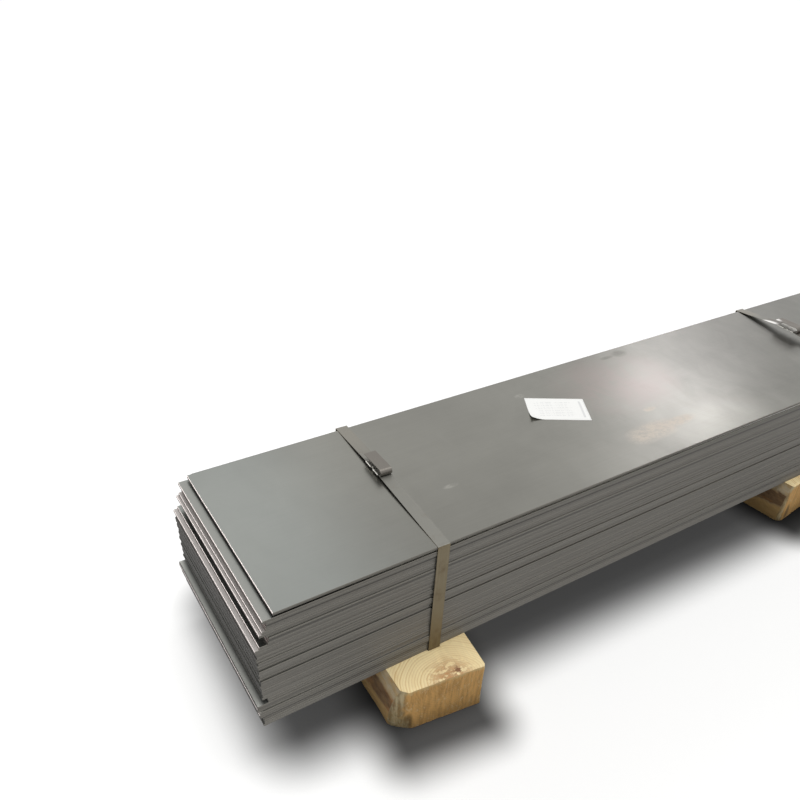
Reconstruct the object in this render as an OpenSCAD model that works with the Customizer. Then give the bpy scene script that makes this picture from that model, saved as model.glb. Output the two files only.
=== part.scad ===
// Bundle of sheared steel plates, held by two steel straps, on two sawn timber bearers.
// X runs along the plates, Y across them, Z up. The origin is on the floor, at the middle.

/* [Plates] */
// Length of a plate
plate_l = 2500; // [2000:10:4000]
// Width of a plate
plate_w = 500; // [400:5:1000]
// Thickness of a plate
plate_t = 6.5; // [4:0.25:12]
// Roll-over that the shear leaves along the upper edges
edge_roll = 0.8; // [0.3:0.1:1.5]
// One step of slip between the plates
slip_step = 1; // [0:0.25:2]
// Random stagger of single plates along the stack
stagger_x = 1.2; // [0:0.1:4]
// Random stagger of single plates across the stack
stagger_y = 0.5; // [0:0.1:2]

/* [Straps] */
// Width of the steel strap
strap_w = 32; // [16:1:40]
// Thickness of the steel strap
strap_t = 1; // [0.6:0.1:1.5]
// Inside radius where a strap bends over the plate edges
strap_bend = 1; // [0.5:0.1:3]
// Gap between a strap and the plate that stands out most
strap_gap = 0.6; // [0.3:0.1:4]
// Left end of the plates to the middle of the left strap
strap_inset_left = 415; // [200:5:700]
// Right end of the plates to the middle of the right strap
strap_inset_right = 470; // [200:5:700]
// Slant of the left strap in plan
strap_slant_left = 2; // [-4:0.5:4]
// Slant of the right strap in plan
strap_slant_right = 2; // [-4:0.5:4]
// Run of a strap that lies flat behind each plate edge
strap_land = 8; // [4:1:30]
// Height of the left sleeve's strap above the top plate
strap_lift_left = 7; // [3:0.5:30]
// Height of the right sleeve's strap above the top plate
strap_lift_right = 20; // [3:0.5:30]

/* [Seals] */
// Length of the crimped sleeve
seal_l = 62; // [30:1:90]
// Wall of the crimped sleeve
seal_t = 1.2; // [0.8:0.1:2]
// Room between the sleeve and the strap's edges
seal_gap = 0.3; // [0.1:0.1:1]
// Lip of the sleeve that folds under the strap
seal_lip = 9; // [4:0.5:12]
// Middle of the sleeve, from the front edge of the plates
seal_across = 306; // [120:1:400]
// Radius of the notch that locks the sleeve and the strap
notch_r = 6.5; // [3:0.5:9]
// Depth of the notch
notch_d = 4; // [2:0.5:7]
// Overlapping strap that shows at each end of the sleeve
tail_flat = 4; // [2:1:40]
// Inside radius of the loop in the strap's free end
loop_r = 8.5; // [5:0.5:20]
// Free end of the strap, laid back over the sleeve
tail_l = 78; // [30:1:120]
// Fall of the free end towards the back
tail_drop = 4; // [0:0.5:8]

/* [Label] */
// Length of the paper label
label_l = 170; // [100:5:250]
// Width of the paper label
label_w = 110; // [60:5:180]
// Thickness of the paper label
label_t = 0.3; // [0.2:0.1:0.8]
// Middle of the label, from the left end of the plates
label_along = 1003; // [700:1:1300]
// Middle of the label, from the front edge of the plates
label_across = 307; // [150:1:320]
// Turn of the label in plan
label_turn = -29; // [-45:1:45]

/* [Bearers] */
// Width of a timber at its front end, over its bark side
bearer_w = 236; // [120:2:320]
// Height of a timber
bearer_h = 140; // [60:5:220]
// Length of a timber
bearer_l = 610; // [520:5:1200]
// Shift of each timber along itself, one forward and one back
bearer_shift = 36; // [0:1:80]
// Left end of the plates to the middle of the left timber
bearer_inset_left = 407; // [250:5:800]
// Right end of the plates to the middle of the right timber
bearer_inset_right = 673; // [250:5:900]
// Angle by which the timbers splay towards the front
bearer_splay = 7; // [0:0.5:10]
// Radius of the bark side that is left on each timber
log_r = 220; // [180:5:500]
// Height of the log's middle line in a timber
log_z = 50; // [20:1:100]
// Angle between the left timber's bark side and its sawn side
log_skew_left = 5; // [0:0.5:8]
// Angle between the right timber's bark side and its sawn side
log_skew_right = 0; // [0:0.5:8]
// Room beside a strap in its groove in a timber
groove_gap = 1; // [0.5:0.5:5]

/* [Hidden] */
$fn = 64;
cut = 1;

// The stack from the top down: plates in the lift, steps of slip along and across, skew in degrees
lifts = [
    [1, 0, 0, 0],
    [1, 12, 4, -0.25],
    [1, -22, 0, 0],
    [1, -14, 1, 0.03],
    [3, -15, 3, 0],
    [1, -25, 3, 0],
    [1, -30, 3, 0],
    [1, -14, 4, 0],
    [3, -12, 2, 0.05],
    [1, -32, 3, 0],
    [1, -42, 3, 0],
    [3, -38, 3, 0],
    [2, -38, 5, 0],
    [2, -37, 3, 0],
    [2, -36, 5, -0.04],
    [3, -35, 3, 0],
    [2, -34, 6, 0],
    [5, -33, 3, 0],
    [4, -31, 4, 0.03],
    [2, -20, 3, 0],
    [3, -44, 2, 0],
    [3, -40, 0, 0],
    [5, -31, 3, 0]
];
SLIP_X = 1;
SLIP_Y = 2;
SKEW = 3;

// The lift of every plate, from the top down
plates = [for (lift = lifts) for (k = [1:lift[0]]) lift];
plate_count = len(plates);

function slip_x(i) = slip_step * plates[i][SLIP_X] + stagger_x * sin(113 * i);
function slip_y(i) = slip_step * plates[i][SLIP_Y] + stagger_y * sin(71 * i);
function skew(i) = plates[i][SKEW];
function two_digits(i) = str(i < 10 ? "0" : "", i);
function plate_name(i) = str("plate_", two_digits(i + 1));

stack_h = plate_count * plate_t;
stack_top = bearer_h + stack_h;

// The ends of the stack, which the origin lies between
function half_length(i) = plate_l / 2 * cos(skew(i)) + plate_w / 2 * sin(abs(skew(i)));
left_end = min([for (i = [0:plate_count - 1]) slip_x(i) - half_length(i)]);
right_end = max([for (i = [0:plate_count - 1]) slip_x(i) + half_length(i)]);
middle_x = (left_end + right_end) / 2;

strap_x_left = strap_inset_left - plate_l / 2;
strap_x_right = plate_l / 2 - strap_inset_right;
bearer_x_left = bearer_inset_left - plate_l / 2;
bearer_x_right = plate_l / 2 - bearer_inset_right;

// How far the plates reach across at a place along the stack
function reach(i, x) = slip_y(i) + (x - slip_x(i)) * sin(skew(i));
function front_at(x) = min([for (i = [0:plate_count - 1]) reach(i, x)]) - plate_w / 2;
function back_at(x) = max([for (i = [0:plate_count - 1]) reach(i, x)]) + plate_w / 2;
// Extra reach of a strap that is turned in plan
function slant_room(slant) = plate_w / 2 * (1 / cos(slant) - 1) + strap_w / 2 * tan(abs(slant));

// Plate section with its upper corners rolled over by the shear
module plate_section(width) {
    polygon([
        [-width / 2, 0],
        [width / 2, 0],
        [width / 2, plate_t - edge_roll],
        [width / 2 - edge_roll, plate_t],
        [-width / 2 + edge_roll, plate_t],
        [-width / 2, plate_t - edge_roll]
    ]);
}

// One sheared plate, middle at the origin, underside at zero
module sheared_plate() {
    intersection() {
        rotate([90, 0, 90])
            linear_extrude(plate_l, center = true)
                plate_section(plate_w);
        rotate([90, 0, 0])
            linear_extrude(plate_w, center = true)
                plate_section(plate_l);
    }
}

module plate(i) {
    color("#8b8986")
        translate([slip_x(i) - middle_x, slip_y(i), stack_top - (i + 1) * plate_t])
            rotate(skew(i))
                sheared_plate();
}

// Rectangle with true round corners, from its lower left corner
module round_rect(size, r) {
    translate([r, 0]) square([size.x - 2 * r, size.y]);
    translate([0, r]) square([size.x, size.y - 2 * r]);
    for (x = [r, size.x - r], y = [r, size.y - r])
        translate([x, y]) circle(r);
}

// Places children on the top run of a strap, with Y running across the stack
module on_strap(x, slant) {
    translate([x - middle_x, 0, 0])
        rotate(-slant)
            children();
}

// Hump of a strap's top run: up from each plate edge to the sleeve, which it passes level
module strap_hump(front, depth, lift) {
    middle = seal_across - plate_w / 2 - front;
    level = seal_l / 2 + tail_flat;
    polygon([
        [strap_land, 0],
        [middle - level, lift],
        [middle + level, lift],
        [depth - strap_land, 0]
    ]);
}

// Closed band round the stack, seen from its end and extruded over the strap's width
module strap_band(x, slant, lift) {
    front = front_at(x) - strap_gap - slant_room(slant);
    depth = back_at(x) + strap_gap + slant_room(slant) - front;
    outer = [depth + 2 * strap_t, stack_h + 2 * strap_t];
    translate([strap_w / 2, 0, 0])
        rotate([90, 0, -90])
            linear_extrude(strap_w)
                mirror([1, 0])
                    translate([front, bearer_h])
                        difference() {
                            union() {
                                translate([-strap_t, -strap_t])
                                    round_rect(outer, strap_bend + strap_t);
                                translate([0, stack_h + strap_t]) strap_hump(front, depth, lift);
                            }
                            round_rect([depth, stack_h], strap_bend);
                            translate([0, stack_h]) strap_hump(front, depth, lift);
                        }
}

// Overlapping end of the strap: level in the sleeve, looped in front of it and laid back over it
module strap_tail(lift) {
    level_l = seal_l + 2 * tail_flat;
    front = seal_across - plate_w / 2 - level_l / 2;
    low = stack_top + lift + strap_t;
    translate([-strap_w / 2, front, low])
        cube([strap_w, level_l, strap_t]);
    translate([0, front, low + strap_t + loop_r])
        rotate([0, 90, 180])
            rotate_extrude(angle = 180)
                translate([loop_r, -strap_w / 2])
                    square([strap_t, strap_w]);
    translate([strap_w / 2, front, low + strap_t + 2 * loop_r])
        rotate([90, 0, -90])
            linear_extrude(strap_w)
                mirror([1, 0])
                    polygon([
                        [0, 0],
                        [0, strap_t],
                        [tail_l, strap_t - tail_drop],
                        [tail_l, -tail_drop]
                    ]);
}

// Half-round notches that the crimping tool bites into both sides of the sleeve and the strap
module notches(lift) {
    outer_w = strap_w + 2 * seal_gap + 2 * seal_t;
    for (side = [-1, 1])
        translate([
            side * (outer_w / 2 + notch_r - notch_d),
            seal_across - plate_w / 2,
            stack_top + lift - seal_t - cut
        ])
            cylinder(r = notch_r, h = 2 * (strap_t + seal_t + cut));
}

module strap(x, slant, lift) {
    color("#7d7a70")
        on_strap(x, slant)
            difference() {
                union() {
                    strap_band(x, slant, lift);
                    strap_tail(lift);
                }
                notches(lift);
            }
}

// Section of the sleeve: sheet folded round both strap ends, with its lips turned in below
module seal_section() {
    inner = [strap_w + 2 * seal_gap, 2 * strap_t];
    bend = min(seal_gap, strap_t / 2);
    slot_w = inner.x - 2 * seal_lip;
    difference() {
        translate([-inner.x / 2 - seal_t, -seal_t])
            round_rect([inner.x + 2 * seal_t, inner.y + 2 * seal_t], bend + seal_t);
        translate([-inner.x / 2, 0]) round_rect(inner, bend);
        translate([-slot_w / 2, -seal_t - cut]) square([slot_w, seal_t + 2 * cut]);
    }
}

module seal(x, slant, lift) {
    color("#a3a19a")
        on_strap(x, slant)
            difference() {
                translate([0, seal_across - plate_w / 2, stack_top + lift])
                    rotate([90, 0, 0])
                        linear_extrude(seal_l, center = true)
                            seal_section();
                notches(lift);
            }
}

module label() {
    color("#f2f1ee")
        translate([label_along - plate_l / 2 - middle_x, label_across - plate_w / 2, stack_top])
            rotate(label_turn)
                translate([-label_l / 2, -label_w / 2, 0])
                    cube([label_l, label_w, label_t]);
}

// Log that a timber is sawn from, touching the timber's left side at its front end
module whole_log(skew) {
    translate([log_r - bearer_w / 2, -bearer_l / 2, log_z])
        rotate(skew)
            rotate([90, 0, 0])
                cylinder(r = log_r, h = 2 * bearer_l + 2 * log_r, center = true);
}

// Groove that a loaded strap presses into the timber
module strap_groove(x, slant) {
    front = front_at(x) - strap_gap - slant_room(slant) - strap_t - groove_gap;
    back = back_at(x) + strap_gap + slant_room(slant) + strap_t + groove_gap;
    width = strap_w + 2 * groove_gap;
    on_strap(x, slant)
        translate([-width / 2, front, bearer_h - strap_t])
            cube([width, back - front, strap_t + cut]);
}

// Timber sawn flat above, below and on the right, with the bark side on the left
module bearer(x, shift, splay, skew) {
    left = bearer_w / 2 + bearer_l * tan(skew) + cut;
    color("#d9b878")
        difference() {
            translate([x - middle_x, shift, 0])
                rotate(splay)
                    intersection() {
                        translate([-left, -bearer_l / 2, 0])
                            cube([left + bearer_w / 2, bearer_l, bearer_h]);
                        whole_log(skew);
                    }
            strap_groove(strap_x_left, strap_slant_left);
            strap_groove(strap_x_right, strap_slant_right);
        }
}

for (i = [0:plate_count - 1])
    plate(i);
strap(strap_x_left, strap_slant_left, strap_lift_left);  // strap_left
strap(strap_x_right, strap_slant_right, strap_lift_right);  // strap_right
seal(strap_x_left, strap_slant_left, strap_lift_left);  // seal_left
seal(strap_x_right, strap_slant_right, strap_lift_right);  // seal_right
label();
bearer(bearer_x_left, -bearer_shift, -bearer_splay, log_skew_left);  // bearer_left
bearer(bearer_x_right, bearer_shift, bearer_splay, log_skew_right);  // bearer_right
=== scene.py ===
# Looks of a strapped bundle of sheared steel plates on two timber bearers
import math
from types import SimpleNamespace

import bmesh
import bpy
from mathutils import Matrix, Quaternion, Vector, noise


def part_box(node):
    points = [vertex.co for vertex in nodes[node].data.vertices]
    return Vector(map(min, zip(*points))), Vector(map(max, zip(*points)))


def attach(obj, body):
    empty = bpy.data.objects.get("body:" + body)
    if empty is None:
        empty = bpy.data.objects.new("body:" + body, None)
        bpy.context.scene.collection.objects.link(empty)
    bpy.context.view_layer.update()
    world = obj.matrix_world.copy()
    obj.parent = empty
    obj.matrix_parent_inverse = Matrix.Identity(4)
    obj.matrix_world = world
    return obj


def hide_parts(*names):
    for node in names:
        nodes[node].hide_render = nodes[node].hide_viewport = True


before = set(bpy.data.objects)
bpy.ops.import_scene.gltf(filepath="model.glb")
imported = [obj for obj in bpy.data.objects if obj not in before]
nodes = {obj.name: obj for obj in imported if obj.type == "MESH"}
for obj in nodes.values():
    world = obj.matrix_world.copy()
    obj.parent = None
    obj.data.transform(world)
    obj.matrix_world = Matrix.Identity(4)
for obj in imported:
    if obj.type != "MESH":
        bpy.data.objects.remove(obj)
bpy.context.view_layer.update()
plateNames = sorted(name for name in nodes if name.startswith("plate_"))
topLow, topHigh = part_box(plateNames[0])
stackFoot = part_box(plateNames[-1])[0].z
corner = Vector((topLow.x, topLow.y, topHigh.z))  # front left corner of the top plate
plateStep = (topHigh.z - stackFoot) / len(plateNames)
print("frame loaded:", len(nodes), "solids")


class Wire:  # an output socket that takes plain arithmetic
    def __init__(self, graph, socket):
        self.graph = graph
        self.socket = socket

    def math(self, operation, first, second=None):
        values = {0: first} if second is None else {0: first, 1: second}
        return self.graph.add("Math", {"operation": operation}, values)

    def __add__(self, other):
        return self.math("ADD", self, other)

    def __sub__(self, other):
        return self.math("SUBTRACT", self, other)

    def __rsub__(self, other):
        return self.math("SUBTRACT", other, self)

    def __mul__(self, other):
        return self.math("MULTIPLY", self, other)

    def __truediv__(self, other):
        return self.math("DIVIDE", self, other)

    def __pow__(self, other):
        return self.math("POWER", self, other)

    def __abs__(self):
        return self.math("ABSOLUTE", self)

    __radd__ = __add__
    __rmul__ = __mul__

    def over(self, other):  # the larger of two
        return self.math("MAXIMUM", self, other)

    def whole(self):
        return self.math("FLOOR", self)

    def part(self):
        return self.math("FRACT", self)


class Graph:  # a node tree with one way to add to it
    def __init__(self, tree):
        self.tree = tree

    def feed(self, socket, value):
        if isinstance(value, Wire):
            self.tree.links.new(value.socket, socket)
        else:
            socket.default_value = value

    def add(self, kind, settings=None, values=None, out=0):
        node = self.tree.nodes.new("ShaderNode" + kind)
        for key, value in (settings or {}).items():
            setattr(node, key, value)
        for key, value in (values or {}).items():
            self.feed(node.inputs[key], value)
        return Wire(self, node.outputs[out])

    def place(self):
        return self.split(self.add("TexCoord", out=3))

    def facing(self):
        return self.split(self.add("TexCoord", out=1))

    def split(self, vector):
        node = self.add("SeparateXYZ", values={0: vector}).socket.node
        return [Wire(self, socket) for socket in node.outputs]

    def cloud(self, place, detail, rough, warp=0.0):
        vector = self.add("CombineXYZ", values=dict(enumerate(place)))
        values = {"Vector": vector, "Scale": 1.0, "Detail": detail, "Roughness": rough, "Distortion": warp}
        return self.add("TexNoise", values=values)

    def chance(self, number):
        return self.add("TexWhiteNoise", {"noise_dimensions": "1D"}, {"W": number})

    def ease(self, value, low, high, start=0.0, end=1.0):
        values = {"Value": value, "From Min": low, "From Max": high, "To Min": start, "To Max": end}
        return self.add("MapRange", {"interpolation_type": "SMOOTHSTEP"}, values)

    def blend(self, amount, first, second, how="MIX"):
        settings = {"data_type": "RGBA", "blend_type": how}
        return self.add("Mix", settings, {0: amount, 6: first, 7: second}, out=2)

    def shade(self, colour, amount):  # darkens a colour by a plain number
        grey = self.add("CombineColor", values={0: amount, 1: amount, 2: amount})
        return self.blend(1.0, colour, grey, "MULTIPLY")

    def bump(self, height, strength):  # height in metres
        return self.add("Bump", values={"Height": height, "Strength": strength, "Distance": 1.0})

    def seen(self):  # one for what the camera, metal or glass shows, nought for light
        path = self.add("LightPath").socket.node
        names = ("Is Camera Ray", "Is Glossy Ray", "Is Transmission Ray")
        camera, glossy, clear = (Wire(self, path.outputs[name]) for name in names)
        return camera.over(glossy).over(clear)


class Finish(Graph):  # a material and its main shader
    def __init__(self, name):
        self.material = bpy.data.materials.new(name)
        self.material.use_nodes = True
        super().__init__(self.material.node_tree)
        self.shader = next(node for node in self.tree.nodes if node.type == "BSDF_PRINCIPLED")

    def set(self, **values):
        for key, value in values.items():
            words = "".join(" " + letter if letter.isupper() else letter for letter in key)
            self.feed(self.shader.inputs[words.title()], value)


def tone(code):  # screen colour as linear light
    parts = [int(code[i:i + 2], 16) / 255 for i in (1, 3, 5)]
    return tuple(c / 12.92 if c <= 0.04045 else ((c + 0.055) / 1.055) ** 2.4 for c in parts) + (1.0,)


def hues(look):  # every colour of a look, as linear light
    return {key: tone(value) for key, value in look.items() if isinstance(value, str)}


def dress(thing, finish):
    thing.data.materials.clear()
    thing.data.materials.append(finish.material)


# Camera: focus in pixels of the frame, angles in degrees, eye in metres from the top plate's corner
cameraLook = {
    "focus": 801.1,
    "frame": 800,
    "sensor": 36.0,
    "reach": 200.0,
    "turn": 33.39,
    "tilt": 32.10,
    "roll": -3.17,
    "eye": (-0.416, -1.041, 1.197),
}


def addCamera(look):
    turn, tilt, roll = (math.radians(look[key]) for key in ("turn", "tilt", "roll"))
    ahead = Vector((math.sin(turn) * math.cos(tilt), math.cos(turn) * math.cos(tilt), -math.sin(tilt)))
    right = Vector((math.cos(turn), -math.sin(turn), 0))
    down = ahead.cross(right)
    side = right * math.cos(roll) + down * math.sin(roll)
    rise = right * math.sin(roll) - down * math.cos(roll)
    lens = bpy.data.cameras.new("camera")
    lens.sensor_width = look["sensor"]
    lens.lens = look["focus"] / look["frame"] * look["sensor"]
    lens.clip_end = look["reach"]
    camera = bpy.data.objects.new("camera", lens)
    axes = Matrix((side, rise, -ahead)).transposed()
    camera.matrix_world = Matrix.Translation(corner + Vector(look["eye"])) @ axes.to_4x4()
    bpy.context.scene.collection.objects.link(camera)
    bpy.context.scene.camera = camera


addCamera(cameraLook)
print("camera placed")

# Lights: glare and sheen mirror in the top plate, rim picks out the sheared ends, sky is broad and even
lightLook = {
    "glareLight": {
        "at": (4.36, 2.28, 1.98),
        "aim": (1.385, 0.21, 0.0),
        "size": (0.9, 0.06),
        "power": 6.3,
        "tint": (0.97, 0.94, 1.0),
        "spin": -18.0,  # lays the glare across the plate
    },
    "sheenLight": {
        "at": (1.0, 2.67, 2.28),
        "aim": (0.1, 0.25, 0.0),
        "size": (1.2, 1.0),
        "power": 1.5,
        "tint": (1.0, 1.0, 1.0),
        "spin": 0.0,
    },
    "rimLight": {
        "at": (-1.85, 2.1, 1.2),
        "aim": (0.0, 0.25, -0.1),
        "size": (1.2, 1.6),
        "power": 28.0,
        "tint": (1.0, 1.0, 1.0),
        "spin": 0.0,
    },
}
skyLook = {"at": (0.36, -0.3, 6.0), "aim": (0.0, 0.0, 0.0), "spread": 36.0, "power": 1.7, "ambient": 0.4}


def addLamp(name, kind, place, aim, **settings):
    lamp = bpy.data.lights.new(name, kind)
    for key, value in settings.items():
        setattr(lamp, key, value)
    light = bpy.data.objects.new(name, lamp)
    light.location = corner + Vector(place)
    light.rotation_mode = "QUATERNION"
    light.rotation_quaternion = (Vector(aim) - Vector(place)).to_track_quat("-Z", "Y")
    bpy.context.scene.collection.objects.link(light)
    return light


def addLights(look):
    for name, box in look.items():
        wide, high = box["size"]
        shape = {"shape": "RECTANGLE", "size": wide, "size_y": high}
        glow = {"energy": box["power"], "color": box["tint"]}
        light = addLamp(name, "AREA", box["at"], box["aim"], **shape, **glow)
        light.rotation_quaternion @= Quaternion((0, 0, 1), math.radians(box["spin"]))


def addSky(look):
    spread = math.radians(look["spread"])
    addLamp("skyLight", "SUN", look["at"], look["aim"], angle=spread, energy=look["power"])
    world = bpy.data.worlds.new("studio")
    world.use_nodes = True
    bpy.context.scene.world = world
    graph = Graph(world.node_tree)
    back = next(node for node in world.node_tree.nodes if node.type == "BACKGROUND")
    back.inputs["Color"].default_value = (1, 1, 1, 1)
    graph.feed(back.inputs["Strength"], graph.seen() * (1 - look["ambient"]) + look["ambient"])


addLights(lightLook)
addSky(skyLook)
print("studio lit")

# Plates: spots are along, across, half length, half width; fades are from, to, first and last value
plateLook = {
    "faceDark": "#7b7a74",
    "faceLight": "#93928b",
    "faceCool": "#868b89",
    "edgeDark": "#605d57",
    "edgeLight": "#86837c",
    # the next three end colours are painted shade on the left ends
    "highEnd": "#564d49",
    "middleEnd": "#2d2926",
    "lowEnd": "#282622",
    "dullRoll": "#76736c",
    # painted highlight on the arrises that stand out
    "arrisHighlight": "#d6ccc8",
    "highStrip": "#8d8e89",
    # the next two are painted light on the strips that stand out, the third painted shade by the stack
    "middleStrip": "#b7b2ae",
    "lowStrip": "#b4b5af",
    "lowStripShade": "#4e4f4c",
    # painted light on the second plate's drawn-back edge, which lies in shadow
    "gapPaintedLight": "#eae8e2",
    "rust": "#d6c7b6",
    "pinkish": "#a59592",
    "smudge": "#55534d",
    "scuff": "#b6b4ac",
    "rustSpots": [
        (1.125, 0.096, 0.05, 0.032),
        (1.18, 0.10, 0.08, 0.034),
        (1.27, 0.102, 0.06, 0.018),
        (1.24, 0.184, 0.022, 0.010),
    ],
    "pinkishSpots": [(1.26, 0.34, 0.20, 0.14)],
    "smudgeSpots": [(1.40, 0.467, 0.028, 0.018), (1.345, 0.464, 0.025, 0.008)],
    "scuffSpots": [(0.95, 0.411, 0.016, 0.009), (0.538, 0.164, 0.02, 0.007)],
    "markShares": {"pinkish": 0.35, "rust": 0.4, "smudge": 0.5, "scuff": 0.4},
    # the next two spots paint a highlight and a shade that shape the glare on the top face
    "paintedGlareSpots": [(1.39, 0.03, 0.17, 0.10)],
    "paintedGlareShare": 0.22,
    "paintedDimSpots": [(1.60, 0.27, 0.21, 0.20)],
    "paintedDimShare": 0.15,
    "coolFade": (0.08, 0.45, 0.55, 0.0),
    "handledFade": (0.8, 1.3, 0.25, 1.0),
    "handledShare": 0.45,
    # painted light and shade along the top plate
    "shadeFades": [(0.05, 0.36, 1.06, 0.95), (0.7, 1.0, 1.0, 1.04), (1.35, 1.85, 1.0, 0.77)],
    # painted shade on the front edges, darker towards the right
    "edgeShadeFade": (0.5, 1.7, 1.0, 0.86),
    "arrisHighlightDepths": [  # metres below the top, arrises of the plates that stand out, given a painted highlight
        (-0.01, 0.004),
        (0.0125, 0.0165),
        (0.045, 0.0485),
        (0.0515, 0.055),
        (0.084, 0.0875),
        (0.0905, 0.094),
        (0.266, 0.292),
    ],
    "paleDepths": [(0.004, 0.03), (0.044, 0.054), (0.089, 0.094), (0.257, 0.285)],  # rubbed strips, painted pale as if lit
    "middleStripFrom": (0.030, 0.040),
    "lowStripFrom": (0.1, 0.2),
    "lowStripReach": (0.026, 0.042),  # past the top plate's left end, painted shade by the stack to painted light
    "middleEndFrom": (0.098, 0.110),
    "lowEndFrom": (0.112, 0.150),
    "seamShadeDepths": [(0.028, 0.033), (0.070, 0.075), (0.297, 0.303)],  # wide joints between lifts, darkened as painted shade
    "gapDepths": [(0.0072, 0.0125)],  # edge of the second plate, drawn back under the first, lightened as painted light against its shadow
    "gapFrom": (0.08, 0.32),
    "roughness": 0.293,
}


def spotMask(g, x, y, spots):
    mask = None
    for along, across, halfLong, halfWide in spots:
        far = ((x - corner.x - along) / halfLong) ** 2 + ((y - corner.y - across) / halfWide) ** 2
        spot = g.ease(far, 0.0, 1.7, 1.0, 0.0)
        mask = spot if mask is None else mask.over(spot)
    return mask


def bandMask(g, value, bands, soft):
    mask = None
    for low, high in bands:
        band = g.ease(value, low - soft, low) * g.ease(value, high, high + soft, 1.0, 0.0)
        mask = band if mask is None else mask.over(band)
    return mask


def plateSignals(g):  # where a point of the stack lies and faces, and what it wears
    at = SimpleNamespace()
    at.x, at.y, at.z = g.place()
    at.nx, at.ny, at.nz = g.facing()
    at.along = at.x - corner.x
    at.past = corner.x - at.x  # past the top plate's left end
    at.depth = corner.z - at.z
    at.flat = g.ease(abs(at.nz), 0.88, 0.97)
    at.side = 1 - g.ease(abs(at.nz), 0.25, 0.45)
    at.ends = g.ease(0 - at.nx, 0.5, 0.65)  # the left ends, which lie back in the shade
    at.top = g.ease(at.z, corner.z - 0.001, corner.z - 0.0004) * at.flat
    count = (at.z - at.nz * 0.001 - stackFoot) / plateStep  # plates from the lowest up
    at.index = count.whole()
    at.height = count.part()
    at.mottle = g.cloud((at.x * 11, at.y * 7, 2.9), 5.0, 0.65, 0.6)
    at.shear = g.cloud((at.x * 700, at.y * 700, at.z * 90), 2.0, 0.5)
    at.stain = g.cloud((at.x * 7, at.y * 7, at.index * 2.3), 4.0, 0.6)
    return at


def plateFace(g, look, hue, at):  # rolled face, with painted light and shade along the top plate and around the glare
    clouds = g.cloud((at.x * 1.3, at.y * 2.6, at.index * 3.1), 4.0, 0.55, 0.4)
    grain = g.cloud((at.x * 5, at.y * 260, at.index * 5.7), 3.0, 0.6)
    face = g.blend(clouds * 1.2 + grain * 0.3 - 0.25, hue["faceDark"], hue["faceLight"])
    face = g.blend(g.ease(at.along, *look["coolFade"]), face, hue["faceCool"])
    handled = g.ease(at.along, *look["handledFade"]) * at.top
    shade = 1 - handled * (at.mottle - 0.5) * look["handledShare"]
    for fade in look["shadeFades"]:
        shade = shade * g.ease(at.along, *fade)
    # painted shade and painted highlight that shape the glare
    shade = shade * (1 - spotMask(g, at.x, at.y, look["paintedDimSpots"]) * look["paintedDimShare"])
    shade = shade * (1 + spotMask(g, at.x, at.y, look["paintedGlareSpots"]) * look["paintedGlareShare"])
    return g.shade(face, shade)


def plateMarks(g, look, hue, at, face):  # stains, rust, smudges and scuffs on the top plate
    speckle = g.cloud((at.x * 45, at.y * 80, 7.3), 5.0, 0.75)
    broken = g.ease(speckle, 0.34, 0.62) * at.top
    masks = {name: spotMask(g, at.x, at.y, look[name + "Spots"]) for name in look["markShares"]}
    masks["pinkish"] = masks["pinkish"] * g.ease(at.mottle, 0.3, 0.6) * at.top
    masks["rust"] = masks["rust"] * (broken * 0.75 + 0.25) * at.top
    masks["smudge"] = masks["smudge"] * (broken * 0.5 + 0.5) * at.top
    masks["scuff"] = masks["scuff"] * broken
    at.rust = masks["rust"]
    for name, share in look["markShares"].items():
        face = g.blend(masks[name] * share, face, hue[name])
    return face


def plateStrip(g, look, hue, at, face):  # faces past the top plate, rubbed rougher and painted pale as if lit, with painted shade by the stack
    at.strip = g.ease(at.past, 0.001, 0.012) * at.flat * bandMask(g, at.depth, look["paleDepths"], 0.003)
    low = g.blend(g.ease(at.past, *look["lowStripReach"]), hue["lowStripShade"], hue["lowStrip"])
    rubbedAndLit = g.blend(g.ease(at.depth, *look["middleStripFrom"]), hue["highStrip"], hue["middleStrip"])
    rubbedAndLit = g.blend(g.ease(at.depth, *look["lowStripFrom"]), rubbedAndLit, low)
    return g.blend(at.strip, face, rubbedAndLit)


def plateEnd(g, look, hue, at):  # left ends, with painted shade that grows darker further down
    shade = g.blend(g.ease(at.depth, *look["lowEndFrom"]), hue["middleEnd"], hue["lowEnd"])
    shade = g.blend(g.ease(at.depth, *look["middleEndFrom"], 1.0, 0.0), shade, hue["highEnd"])
    return g.shade(shade, 0.8 + at.stain * 0.4)


def plateEdge(g, look, hue, at, end):  # sheared edges, with a dark seam between some plates
    odd = g.chance(at.index + 0.37)
    odder = g.chance(at.index + 7.81)
    burnish = g.ease(at.height, 0.5, 0.72)
    amount = odd * 0.45 + burnish * 0.16 + at.stain * 0.4 + at.shear * 0.2 - 0.15
    edge = g.blend(amount, hue["edgeDark"], hue["edgeLight"])
    # painted light on the second plate's edge, against the shadow under the first
    at.gap = bandMask(g, at.depth, look["gapDepths"], 0.0004) * g.ease(at.along, *look["gapFrom"])
    at.gap = at.gap * g.ease(0 - at.ny, 0.5, 0.7)
    edge = g.blend(at.gap, edge, hue["gapPaintedLight"])
    edge = g.blend(at.ends, edge, end)
    seam = g.ease(at.height, 0.0, 0.28, 1.0, 0.0) * g.ease(odder, 0.62, 0.95, 0.14, 0.6)
    seam = seam * (1 - at.ends * 0.6)
    # painted shade along the wide joints between lifts
    wide = bandMask(g, at.depth, look["seamShadeDepths"], 0.0015) * (1 - at.ends)
    # the last factor is painted shade, darker towards the right
    return g.shade(edge, (1 - seam) * (1 - wide * 0.5) * g.ease(at.along, *look["edgeShadeFade"]))


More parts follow.
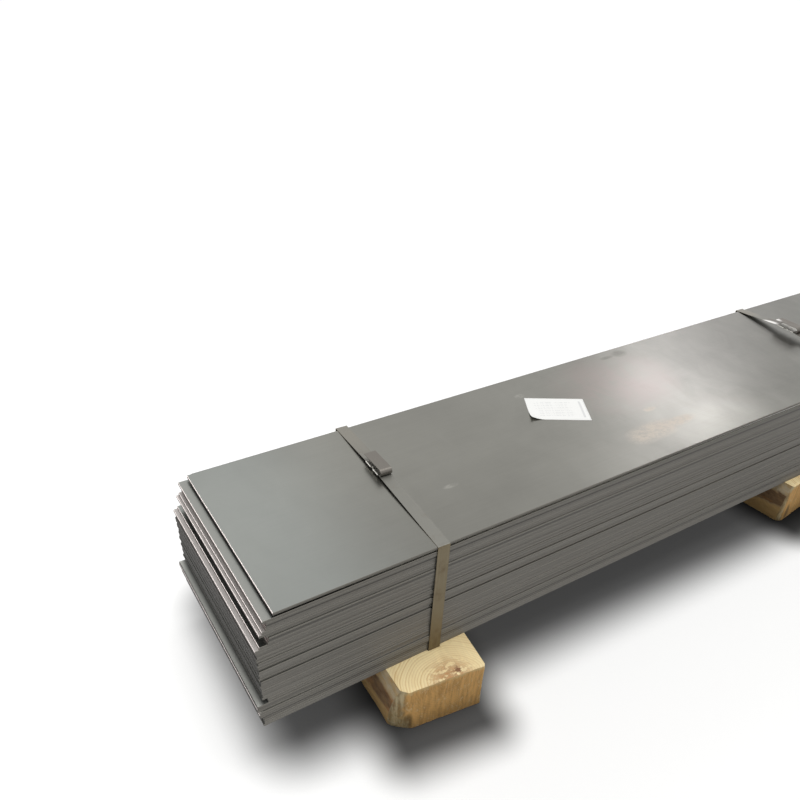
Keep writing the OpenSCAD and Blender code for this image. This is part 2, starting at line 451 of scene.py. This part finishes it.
def plateFinish(look):
    g, hue = Finish("plateSteel"), hues(look)
    at = plateSignals(g)
    face = plateFace(g, look, hue, at)
    face = plateMarks(g, look, hue, at, face)
    face = plateStrip(g, look, hue, at, face)
    end = plateEnd(g, look, hue, at)
    edge = plateEdge(g, look, hue, at, end)
    roll = g.blend(at.ends, hue["dullRoll"], end)
    colour = g.blend(at.flat, g.blend(at.side, roll, edge), face)
    # painted highlight on the left arrises of the plates that stand out
    arrisLit = bandMask(g, at.depth, look["arrisHighlightDepths"], 0.0008) * at.ends * (1 - at.flat)
    shine = arrisLit * (1 - at.side).over(g.ease(at.height, 0.6, 0.75))
    colour = g.blend(shine, colour, hue["arrisHighlight"])
    haze = g.cloud((at.x * 3.1, at.y * 5.2, 4.4), 3.0, 0.5)
    rough = look["roughness"] + (haze - 0.5) * 0.03 + at.rust * 0.1 + at.side * 0.3 + at.strip * 0.2
    dull = (at.side * (0.7 - at.ends * 0.45)).over(shine * 0.7).over(at.strip * 0.6)
    dull = dull.over(at.ends * (1 - at.flat) * 0.3).over(at.gap)
    dents = g.cloud((at.x * 9, at.y * 9, at.index * 1.7), 2.0, 0.4)
    relief = dents * at.flat * 0.0005 + at.shear * at.side * 0.00012
    g.set(baseColor=colour, roughness=rough, metallic=1 - dull - at.rust * 0.28)
    g.set(normal=g.bump(relief, 0.35))
    return g


plateSteel = plateFinish(plateLook)
for name in plateNames:
    dress(nodes[name], plateSteel)
print("plates dressed:", len(plateNames))

strapLook = {
    "top": "#7c7b75",
    "topBack": "#85827a",
    "folded": "#74706a",
    "side": "#786e59",
    "rub": "#98958b",
    "stain": "#5d4c38",
    "paintedHighlight": "#f4f2ee",
    "paintedHighlightSpots": [(2.02, 0.364, 0.013, 0.03)],  # painted highlight where the right strap rises to its seal
    "backFrom": (0.28, 0.48),
    "roughness": 0.52,
}


def strapFinish(look):
    g, hue = Finish("strapSteel"), hues(look)
    x, y, z = g.place()
    nz = g.facing()[2]
    above = z - corner.z
    level = g.ease(nz, 0.35, 0.8).over(g.ease(above, 0.0, 0.004))
    blotch = g.cloud((x * 22, y * 22, z * 22), 5.0, 0.62)
    streak = g.cloud((x * 600, y * 6, z * 6), 3.0, 0.6)
    back = g.ease(y - corner.y, *look["backFrom"]) * (1 - g.ease(above, 0.006, 0.012))
    folded = g.ease(above, 0.012, 0.018)  # the free end, laid back over its sleeve
    upper = g.blend(folded, g.blend(back, hue["top"], hue["topBack"]), hue["folded"])
    colour = g.blend(level, hue["side"], upper)
    stain = g.ease(blotch, 0.55, 0.75, 0.0, 0.5) * (1 - level * 0.7)
    rub = g.ease(streak, 0.55, 0.8, 0.0, 0.35) * (1 - level * 0.5)
    # painted highlight on the strap near its seal
    paintedHighlight = spotMask(g, x, y, look["paintedHighlightSpots"]) * level
    for mask, name in ((stain, "stain"), (rub, "rub"), (paintedHighlight, "paintedHighlight")):
        colour = g.blend(mask, colour, hue[name])
    g.set(baseColor=colour, metallic=0.9 - paintedHighlight * 0.6)
    g.set(roughness=look["roughness"] + (blotch - 0.5) * 0.3)
    g.set(normal=g.bump(streak * 0.00004 + blotch * 0.0003, 0.4))
    return g


strapSteel = strapFinish(strapLook)
for name in ("strap_left", "strap_right"):
    dress(nodes[name], strapSteel)

sealLook = {
    "face": "#9c9a93",
    "worn": "#c9c7c1",
    # painted highlight on the seal's side walls
    "wall": "#f4f1ea",
    "grime": "#59554c",
    "roughness": 0.3,
}


def sealFinish(look):
    g, hue = Finish("sealSteel"), hues(look)
    x, y, z = g.place()
    nx = g.facing()[0]
    # painted highlight on the side walls
    wall = g.ease(abs(nx), 0.6, 0.85)
    blotch = g.cloud((x * 60, y * 60, z * 60), 5.0, 0.6)
    scratch = g.cloud((x * 80, y * 900, z * 80), 3.0, 0.6)
    colour = g.blend(g.ease(scratch, 0.5, 0.75), hue["face"], hue["worn"])
    colour = g.blend(g.ease(blotch, 0.55, 0.72, 0.0, 0.6), colour, hue["grime"])
    colour = g.blend(wall * g.ease(blotch, 0.5, 0.66, 1.0, 0.3), colour, hue["wall"])
    g.set(baseColor=colour, metallic=0.95 - wall * 0.8, roughness=look["roughness"] + blotch * 0.15)
    g.set(normal=g.bump(scratch * 0.00003 + blotch * 0.0004, 0.4))
    return g


sealSteel = sealFinish(sealLook)
for name in ("seal_left", "seal_right"):
    dress(nodes[name], sealSteel)
print("straps and seals dressed")


def addPiece(name, mesh, node, finish):
    piece = bpy.data.objects.new(name, mesh)
    bpy.context.scene.collection.objects.link(piece)
    dress(piece, finish)
    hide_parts(node)
    return piece


def finishMesh(name, body):
    mesh = bpy.data.meshes.new(name)
    body.to_mesh(mesh)
    body.free()
    mesh.polygons.foreach_set("use_smooth", [True] * len(mesh.polygons))
    return mesh


# Label: sizes in metres, with the front left corner curled up off the plate
labelLook = {
    "long": 0.17,
    "wide": 0.11,
    "thick": 0.00025,
    "turn": -29.0,
    "curl": 0.032,
    "curlRadius": 0.055,
    "curlToward": (-0.78, -0.63),
    "wave": 0.0004,
    "stepsLong": 44,
    "stepsWide": 28,
    "paper": "#f6f6f3",
    "rule": "#b9bbbd",
    "ruleStep": 0.0085,
    "ruleHalf": (0.040, 0.056),
    "ruleShift": 0.006,
    "ruleRagged": 0.012,
    "ruleMargin": (0.040, 0.042),
    "stripeAt": 0.070,
    "stripeHalf": (0.0025, 0.0035),
    "inkShare": 0.55,
}


def labelFinish(look):
    g, hue = Finish("labelPaper"), hues(look)
    s, t, up = g.place()
    fibre = g.cloud((s * 260, t * 260, up * 260), 4.0, 0.6)
    crease = g.cloud((s * 16, t * 22, 1.0), 3.0, 0.5, 0.6)
    row = t / look["ruleStep"] + 0.5
    rule = g.ease(abs(row.part() - 0.5), 0.08, 0.16, 1.0, 0.0)
    shift = g.chance(row.whole()) * look["ruleRagged"] + look["ruleShift"]
    within = g.ease(abs(s + shift), *look["ruleHalf"], 1.0, 0.0)
    margin = g.ease(abs(t), *look["ruleMargin"], 1.0, 0.0)
    dashes = g.ease(g.cloud((s * 240, t * 10, 3.0), 2.0, 0.5), 0.42, 0.56)
    stripe = g.ease(abs(s - look["stripeAt"]), *look["stripeHalf"], 1.0, 0.0) * margin
    ink = (rule * within * margin * dashes).over(stripe * 0.8)
    sheet = g.shade(hue["paper"], 0.93 + fibre * 0.1)
    colour = g.blend(ink * look["inkShare"], sheet, hue["rule"])
    g.set(baseColor=colour, roughness=0.62 + fibre * 0.2)
    g.set(normal=g.bump(fibre * 0.00002 + crease * 0.0012, 0.5))
    return g


def curledPoint(look, flat):  # a place on the flat sheet, rolled up where it lies in the curl
    radius = look["curlRadius"]
    out = Vector(look["curlToward"]).normalized()
    tip = Vector((-look["long"] / 2, -look["wide"] / 2))
    past = max(0.0, look["curl"] - (tip - flat).dot(out))
    angle = past / radius
    spot = flat + out * (radius * math.sin(angle) - past)
    rise = radius * (1 - math.cos(angle))
    wave = look["wave"] * max(0.0, noise.noise(Vector((flat.x * 30, flat.y * 40, 2.7))))
    return Vector((spot.x, spot.y, rise + wave))


def labelLayer(body, look, lift):  # one side of the paper, as columns of points
    columns = []
    for i in range(look["stepsLong"] + 1):
        s = look["long"] * (i / look["stepsLong"] - 0.5)
        across = [look["wide"] * (j / look["stepsWide"] - 0.5) for j in range(look["stepsWide"] + 1)]
        points = [curledPoint(look, Vector((s, t))) + Vector((0, 0, lift)) for t in across]
        columns.append([body.verts.new(point) for point in points])
    return columns


def labelMesh(look):
    body = bmesh.new()
    below, above = (labelLayer(body, look, lift) for lift in (0.0, look["thick"]))
    lastLong, lastWide = look["stepsLong"], look["stepsWide"]
    for i in range(lastLong):
        for j in range(lastWide):
            body.faces.new((above[i][j], above[i + 1][j], above[i + 1][j + 1], above[i][j + 1]))
            body.faces.new((below[i][j], below[i][j + 1], below[i + 1][j + 1], below[i + 1][j]))
    rim = [(i, 0) for i in range(lastLong)] + [(lastLong, j) for j in range(lastWide)]
    rim += [(i, lastWide) for i in range(lastLong, 0, -1)] + [(0, j) for j in range(lastWide, 0, -1)]
    for (a, b), (c, d) in zip(rim, rim[1:] + rim[:1]):
        body.faces.new((below[a][b], below[c][d], above[c][d], above[a][b]))
    return finishMesh("label_sheet", body)


labelLow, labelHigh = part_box("label")
label = addPiece("label_sheet", labelMesh(labelLook), "label", labelFinish(labelLook))
label.location = ((labelLow.x + labelHigh.x) / 2, (labelLow.y + labelHigh.y) / 2, labelLow.z)
label.rotation_euler = (0, 0, math.radians(labelLook["turn"]))
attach(label, "root")
print("label laid")

# Bearers: sizes in metres as sawn, then the broken front corner, the strap's groove, wear and colours
bearerLook = {
    "wide": 0.236,
    "high": 0.14,
    "long": 0.61,
    "logRadius": 0.22,
    "logHeight": 0.05,
    "arris": 0.0022,
    "chipWide": (0.046, 0.014),  # at the floor, then at the top
    "chipDeep": (0.034, 0.012),
    "chipBow": 1.3,
    "grooveWide": 0.034,
    "grooveDeep": 0.001,
    "grooveTrace": 0.00001,  # past its ends, so that every ring has the same points
    "grooveReach": 0.2545,
    "strapSlant": 2.0,
    "wander": 0.0007,
    "rough": 0.00035,
    "barkLumps": 0.0028,
    "barkRough": 0.0012,
    "endArris": 0.0026,
    "endWear": 0.8,
    "nick": 1.5,
    "sawMark": 0.0011,
    "sharpFrom": 38.0,
    "stations": 96,
    "endStations": [0.0, 0.001, 0.0024, 0.005, 0.008, 0.012, 0.016, 0.021, 0.027, 0.034],
    "endLoops": 9,
    "steps": {"under": 20, "arris": 3, "right": 14, "top": 44, "bark": 32},
    "grooveSteps": (18, 4, 22),  # right of the groove, its floor, left of it
    "pale": "#fde9b6",
    "amber": "#d0a25c",
    "reddish": "#bd8958",
    "knot": "#7a4a2c",
    "fleck": "#dfc190",
    "endGrain": "#d8a966",
    "endDark": "#936d37",
    "grime": "#5a4826",
    "lip": "#d6bd88",
    "wane": "#b4a68a",
    "rind": "#b08f5c",
    "bark": "#5c3d1a",
    "redBark": "#96632c",
    "split": "#bdb08c",
    "splitDark": "#7b6741",
    "ring": 0.0056,
    "heart": (0.028, -0.004, 0.14),  # across, along from the front end, up
    "straightFrom": 0.13,
    "knotAt": (0.050, 0.013, 0.0115),  # across, along, size
    "chipInKnot": (0.047, 0.004, 0.005),
    "grimeAt": (-0.080, 0.028, 0.013, 0.034),  # across, up, half width, half height
    "barkTop": (0.098, 0.110),
    "barkFoot": 0.062,
    "barkFall": 0.10,
}

# Timbers: middle on the floor, turn and skew in degrees, how much of the corner broke off
bearerSides = {
    "left": {
        "middle": (corner.x + 0.407, -0.036),
        "turn": -7.0,
        "skew": 5.0,
        "chip": 1.0,
        "seed": 1.7,
        "strap": "strap_left",
    },
    "right": {
        "middle": (topHigh.x - 0.673, 0.036),
        "turn": 7.0,
        "skew": 0.0,
        "chip": 0.4,
        "seed": 5.2,
        "strap": None,
    },
}


def bearerSignals(g, look, seed):  # u across, v along and w up the timber
    at = SimpleNamespace(seed=seed)
    at.u, at.v, at.w = g.place()
    at.nx, at.ny = g.facing()[:2]
    at.along = at.v + look["long"] / 2
    at.end = g.ease(abs(at.ny), 0.72, 0.9)
    at.left = g.ease(at.nx, -0.75, -0.35, 1.0, 0.0)
    at.chip = g.ease(0 - at.nx * 0.7 - at.ny * 0.71, 0.90, 0.97)
    at.fine = g.cloud((at.u * 420, at.v * 16, at.w * 420 + seed), 3.0, 0.6)
    at.warm = g.cloud((at.u * 18, at.v * 7 + seed, at.w * 18), 4.0, 0.6)
    at.sawn = g.cloud((at.u * 130, at.v * 30, at.w * 16 + seed), 4.0, 0.65)
    at.speck = g.cloud((at.u * 120, at.v * 120, at.w * 70), 4.0, 0.7)
    at.flake = g.cloud((at.u * 90, at.v * 24, at.w * 90 + seed), 5.0, 0.7)
    at.splinter = g.cloud((at.u * 110, at.v * 110, at.w * 13 + seed), 5.0, 0.7)
    return at


def growthRings(g, look, at):  # rings round the heart, straight grain further back
    heartU, heartV, heartW = look["heart"]
    du, dw = (at.u - heartU) * 0.8, (at.w - heartW) * 0.8
    limits = {0: at.along - heartV, 1: look["straightFrom"], 2: 0.1}
    dv = g.add("Math", {"operation": "SMOOTH_MIN"}, limits)
    sway = g.cloud((at.u * 10 + at.seed, at.v * 6, at.w * 10), 3.0, 0.5)
    radius = ((du * du + dv * dv + dw * dw) ** 0.5) / look["ring"] + sway * 3.2 + at.fine * 0.2
    turn = radius.part()
    at.late = g.ease(turn, 0.15, 0.8) * g.ease(turn, 0.84, 1.0, 1.0, 0.0)
    at.ringTone = 0.15 + g.chance(radius.whole() + at.seed) * 0.45


def roundSpot(g, at, spot, ragged):
    across, along, size = spot
    far = ((at.u - across) ** 2 + (at.along - along) ** 2) ** 0.5 + (ragged - 0.5) * size * 3.0
    return g.ease(far, size * 0.4, size, 1.0, 0.0)


def sawnWood(g, look, hue, at):  # long grain of the top and sides, with the knot
    faint = g.ease(at.u, -0.10, 0.08, 1.0, 0.55)
    wood = g.blend(at.late * faint * at.ringTone, hue["pale"], hue["amber"])
    wood = g.blend(g.ease(at.warm, 0.45, 0.75, 0.0, 0.35) * faint, wood, hue["amber"])
    heartU, heartV = look["heart"][:2]
    near = g.ease(((at.u - heartU) ** 2 + (at.along - heartV) ** 2) ** 0.5, 0.014, 0.08, 0.9, 0.0)
    patch = g.cloud((at.u * 60, at.v * 90, at.w * 60 + at.seed), 4.0, 0.6)
    wood = g.blend(near * g.ease(patch, 0.34, 0.62), wood, hue["reddish"])
    crack = g.ease(abs(patch - 0.5), 0.0, 0.035, 1.0, 0.0)
    wood = g.blend(near * crack * 0.6, wood, hue["knot"])
    ragged = g.cloud((at.u * 130, at.v * 190, at.w * 130 + at.seed), 4.0, 0.7)
    wood = g.blend(roundSpot(g, at, look["knotAt"], ragged) * 0.9, wood, hue["knot"])
    return g.blend(roundSpot(g, at, look["chipInKnot"], ragged), wood, hue["pale"])


def endWood(g, look, hue, at):  # cross-cut ends, with grime on the front one and a pale lip at the top
    broad = g.cloud((at.u * 24, at.v * 24, at.w * 16 + at.seed), 3.0, 0.6)
    grit = at.late * 0.1 + g.ease(at.sawn, 0.36, 0.66) * 0.5 + g.ease(at.speck, 0.4, 0.7) * 0.3
    wood = g.blend(grit + broad * 0.5 - 0.35, hue["endGrain"], hue["endDark"])
    wood = g.blend(g.ease(at.speck, 0.54, 0.68, 0.0, 0.7), wood, hue["fleck"])
    grimeU, grimeW, halfWide, halfHigh = look["grimeAt"]
    far = ((at.u - grimeU) / halfWide) ** 2 + ((at.w - grimeW) / halfHigh) ** 2 + (at.sawn - 0.5) * 0.8
    front = g.ease(0 - at.ny, 0.5, 0.9)
    wood = g.blend(g.ease(far, 0.2, 1.3, 0.75, 0.0) * front, wood, hue["grime"])
    uneven = at.w + (at.speck - 0.5) * 0.022 + (broad - 0.5) * 0.02
    lip = g.ease(uneven, look["high"] - 0.016, look["high"] - 0.003)
    wood = g.blend(lip * 0.75, wood, hue["lip"])
    return g.shade(wood, g.ease(at.w, 0.0, 0.05, 0.78, 1.0))


def barkWood(g, look, hue, at):  # round side of the log, with a band of bark left on it
    top = g.ease(at.w + (at.flake - 0.5) * 0.03, *look["barkTop"], 1.0, 0.0)
    foot = look["barkFoot"] - at.along * look["barkFall"] + (at.flake - 0.5) * 0.02
    above = g.ease(at.w - foot, -0.006, 0.006)
    rind = g.blend(g.ease(at.flake, 0.35, 0.7), hue["wane"], hue["rind"])
    rind = g.blend(1 - above, rind, hue["rind"])
    bark = g.blend(g.ease(at.warm, 0.42, 0.62), hue["bark"], hue["redBark"])
    return g.blend(top * above * g.ease(at.flake, 0.25, 0.7, 1.0, 0.7), rind, bark)


def bearerFinish(name, look, seed):
    g, hue = Finish(name), hues(look)
    at = bearerSignals(g, look, seed)
    growthRings(g, look, at)
    colour = g.blend(at.end, sawnWood(g, look, hue, at), endWood(g, look, hue, at))
    colour = g.blend(at.left, colour, barkWood(g, look, hue, at))
    torn = g.blend(g.ease(at.splinter, 0.36, 0.62), hue["splitDark"], hue["split"])
    colour = g.blend(at.chip * g.ease(at.flake, 0.35, 0.6, 0.5, 0.9), colour, torn)
    dirt = g.cloud((at.u * 30, at.v * 30, at.w * 30 + seed), 5.0, 0.7)
    colour = g.blend(g.ease(dirt, 0.60, 0.78, 0.0, 0.3), colour, hue["endDark"])
    colour = g.shade(colour, 0.9 + at.fine * 0.2)
    ridges = g.cloud((at.u * 60, at.v * 260, at.w * 60), 2.0, 0.5)
    relief = at.fine * 0.0004 + at.late * 0.0003 + ridges * (1 - at.end) * 0.0005
    relief = relief + (at.sawn * 0.0012 + at.speck * 0.0008) * at.end
    relief = relief + at.left * at.flake * 0.003 + at.chip * at.splinter * 0.004
    g.set(baseColor=colour, roughness=0.66 + at.fine * 0.2)
    g.set(normal=g.bump(relief, 0.6))
    return g


def span(start, end, count):  # points from start up to, not at, end
    return [start.lerp(end, k / count) for k in range(count)]


def roundCorner(middle, radius, fromAngle, toAngle, count):
    angles = [math.radians(fromAngle + (toAngle - fromAngle) * k / count) for k in range(count)]
    return [middle + Vector((math.cos(a), math.sin(a))) * radius for a in angles]


def barkSide(look, along, height, skew, chip):  # how far left the log reaches, less the broken corner
    rise = (height - look["logHeight"]) / look["logRadius"]
    axis = look["logRadius"] - look["wide"] / 2 - along * math.tan(skew)
    side = axis - look["logRadius"] / math.cos(skew) * math.sqrt(1 - rise * rise)
    share = height / look["high"]
    sizes = (look["chipWide"], look["chipDeep"])
    wide, deep = (chip * (low + (high - low) * share) for low, high in sizes)
    if along < deep:
        side += wide * (1 - along / deep) ** look["chipBow"]
    return side


def topRun(look, start, end, groove):  # top of the section from right to left, stepped at the groove
    if groove is None:
        return span(start, end, look["steps"]["top"])
    high = look["high"]
    middle, deep = groove
    right, left = middle + look["grooveWide"] / 2, middle - look["grooveWide"] / 2
    rightSteps, floorSteps, leftSteps = look["grooveSteps"]
    points = span(start, Vector((right, high)), rightSteps)
    points += [Vector((right, high)), Vector((right, high - deep))]
    points += span(Vector((right, high - deep)), Vector((left, high - deep)), floorSteps)[1:]
    points += [Vector((left, high - deep)), Vector((left, high))]
    return points + span(Vector((left, high)), end, leftSteps)[1:]


def bearerRing(look, along, skew, chip, groove, seed):  # the section at one place along the timber
    half, high, steps = look["wide"] / 2, look["high"], look["steps"]
    sway = [noise.noise(Vector((along * rate, seed, rate))) for rate in (14.0, 11.0)]
    arrisTop, arrisLow = (look["arris"] * (1 + 0.6 * value) for value in sway)
    footLeft, topLeft = (Vector((barkSide(look, along, z, skew, chip), z)) for z in (0, high))
    points = span(footLeft, Vector((half - arrisLow, 0)), steps["under"])
    points += roundCorner(Vector((half - arrisLow, arrisLow)), arrisLow, -90, 0, steps["arris"])
    points += span(Vector((half, arrisLow)), Vector((half, high - arrisTop)), steps["right"])
    points += roundCorner(Vector((half - arrisTop, high - arrisTop)), arrisTop, 0, 90, steps["arris"])
    points += topRun(look, Vector((half - arrisTop, high)), topLeft, groove)
    for k in range(steps["bark"]):
        height = high * (1 - k / steps["bark"])
        points.append(Vector((barkSide(look, along, height, skew, chip), height)))
    return points


def bearerStations(look):  # closer together at the ends and the broken front corner
    fronts = look["endStations"]
    rears = [look["long"] - inset for inset in reversed(fronts[:3])]
    step = (rears[0] - fronts[-1]) / look["stations"]
    return fronts + [fronts[-1] + step * (k + 1) for k in range(look["stations"] - 1)] + rears


def weathered(look, place, along, seed):  # a point of the section, roughened, and worn near the ends
    x, half, high = place.x, look["wide"] / 2, look["high"]
    wander = noise.noise(Vector((place.x * 22, along * 12, place.y * 22 + seed)))
    rough = noise.noise(Vector((place.x * 90, along * 60, place.y * 90 + seed)))
    inward = look["wander"] * max(0.0, wander) + look["rough"] * max(0.0, rough)
    if place.x < -0.04 and place.y < high - 0.0001:  # under the top, on the bark side
        lumps = noise.noise(Vector((along * 9, place.y * 45, seed)))
        x += inward + look["barkLumps"] * max(0.0, lumps + 0.2) + look["barkRough"] * max(0.0, rough)
    elif 0.001 < place.y < high - 0.001 and place.x > half - 0.004:
        x -= inward
    nick = noise.noise(Vector((place.x * 55, seed + along, place.y * 55)))
    reach = look["endArris"] * (1 + look["nick"] * max(0.0, nick + 0.1))
    worn = max(0.0, reach - min(along, look["long"] - along)) * look["endWear"]
    x -= x / half * worn
    z = place.y - (place.y / (high / 2) - 1) * worn
    return x, along - look["long"] / 2, z


def closeEnd(body, ring, out, look, seed):  # loops towards the middle, with saw marks cut in
    middle = Vector((0.0, ring[0].co.y, look["high"] / 2))
    outer = ring
    for k in range(1, look["endLoops"]):
        inner = []
        for vert in ring:
            spot = vert.co.lerp(middle, k / look["endLoops"])
            saw = noise.noise(Vector((spot.x * 70, out * 3.0 + seed, spot.z * 18)))
            spot.y -= out * look["sawMark"] * max(0.0, saw + 0.25)
            inner.append(body.verts.new(spot))
        for i in range(len(ring)):
            j = (i + 1) % len(ring)
            body.faces.new((outer[i], inner[i], inner[j], outer[j]))
        outer = inner
    tip = body.verts.new(middle - Vector((0, out * 0.0003, 0)))
    for i in range(len(ring)):
        body.faces.new((outer[i], tip, outer[(i + 1) % len(ring)]))


def bearerMesh(name, look, side, grooveLine):
    skew, chip, seed = math.radians(side["skew"]), side["chip"], side["seed"]
    body = bmesh.new()
    rings = []
    for along in bearerStations(look):
        groove = None
        if grooveLine is not None:
            offset, slope, centre = grooveLine
            under = abs(along - centre) < look["grooveReach"]
            deep = look["grooveDeep"] if under else look["grooveTrace"]
            groove = (offset + slope * (along - centre), deep)
        section = bearerRing(look, along, skew, chip, groove, seed)
        rings.append([body.verts.new(weathered(look, place, along, seed)) for place in section])
    count = len(rings[0])
    for near, far in zip(rings, rings[1:]):
        for i in range(count):
            j = (i + 1) % count
            body.faces.new((near[i], near[j], far[j], far[i]))
    for ring, out in ((rings[0], -1), (rings[-1], 1)):
        closeEnd(body, ring, out, look, seed)
    bmesh.ops.recalc_face_normals(body, faces=body.faces)
    mesh = finishMesh(name, body)
    mesh.set_sharp_from_angle(angle=math.radians(look["sharpFrom"]))
    return mesh


def grooveAt(look, middle, turn, strap):  # the strap's line in the timber's own axes
    strapLow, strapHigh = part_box(strap)
    away = Vector(((strapLow.x + strapHigh.x) / 2 - middle.x, -middle.y))
    offset = away.x * math.cos(turn) + away.y * math.sin(turn)
    centre = away.y * math.cos(turn) - away.x * math.sin(turn) + look["long"] / 2
    return offset, math.tan(math.radians(look["strapSlant"]) + turn), centre


def addBearer(name, look, side):
    node = "bearer_" + name
    middle, turn = Vector((*side["middle"], 0)), math.radians(side["turn"])
    grooveLine = grooveAt(look, middle, turn, side["strap"]) if side["strap"] else None
    mesh = bearerMesh(node + "_timber", look, side, grooveLine)
    finish = bearerFinish("bearerPine" + name.title(), look, side["seed"])
    piece = addPiece(node + "_timber", mesh, node, finish)
    piece.location = middle
    piece.rotation_euler = (0, 0, turn)
    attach(piece, "root")


for name, side in bearerSides.items():
    addBearer(name, bearerLook, side)
print("bearers sawn")

# Floor: lift is its glow to the camera; shade is full inside the inset outlines and fades over the reach
floorLook = {
    "half": 30.0,
    "colour": "#dddddc",
    "lift": 0.34,
    "underInset": (0.08, 0.015),
    "underReach": 0.185,
    "underDark": 0.12,
    "underTurn": -1.5,
    "footInset": (0.02, -0.045),
    "footReach": 0.14,
    "footDark": 0.08,
    "roughness": 0.9,
}


def outlineShade(g, place, half, inset, reach, dark):
    middleX, middleY, turn = place
    cos, sin = math.cos(math.radians(turn)), math.sin(math.radians(turn))
    x, y = g.place()[:2]
    across = (x - middleX) * cos + (y - middleY) * sin
    along = (y - middleY) * cos - (x - middleX) * sin
    overAcross = (abs(across) - half[0] + inset[0]).over(0.0)
    overAlong = (abs(along) - half[1] + inset[1]).over(0.0)
    return g.ease((overAcross * overAcross + overAlong * overAlong) ** 0.5, 0.0, reach, dark, 1.0)


def floorShade(g, look):
    middle, half = (topLow + topHigh) / 2, (topHigh - topLow) / 2
    place = middle.x, middle.y, look["underTurn"]
    shade = outlineShade(g, place, half, look["underInset"], look["underReach"], look["underDark"])
    half = bearerLook["wide"] / 2, bearerLook["long"] / 2
    foot = look["footInset"], look["footReach"], look["footDark"]
    for side in bearerSides.values():
        place = (*side["middle"], side["turn"])
        shade = shade * outlineShade(g, place, half, *foot)
    return shade


def floorFinish(look):
    g, hue = Finish("floorWhite"), hues(look)
    shade = floorShade(g, look)
    g.set(baseColor=g.shade(hue["colour"], shade), roughness=look["roughness"])
    g.feed(g.shader.inputs["Specular IOR Level"], 0.0)
    g.set(emissionColor=(1, 1, 1, 1), emissionStrength=g.seen() * shade * look["lift"])
    return g


def addFloor(look):
    half = look["half"]
    outline = [(-half, -half, 0), (half, -half, 0), (half, half, 0), (-half, half, 0)]
    mesh = bpy.data.meshes.new("floor")
    mesh.from_pydata(outline, [], [(0, 1, 2, 3)])
    floor = bpy.data.objects.new("floor", mesh)
    bpy.context.scene.collection.objects.link(floor)
    dress(floor, floorFinish(look))


addFloor(floorLook)
print("floor laid")

bpy.context.scene.view_settings.view_transform = "Standard"
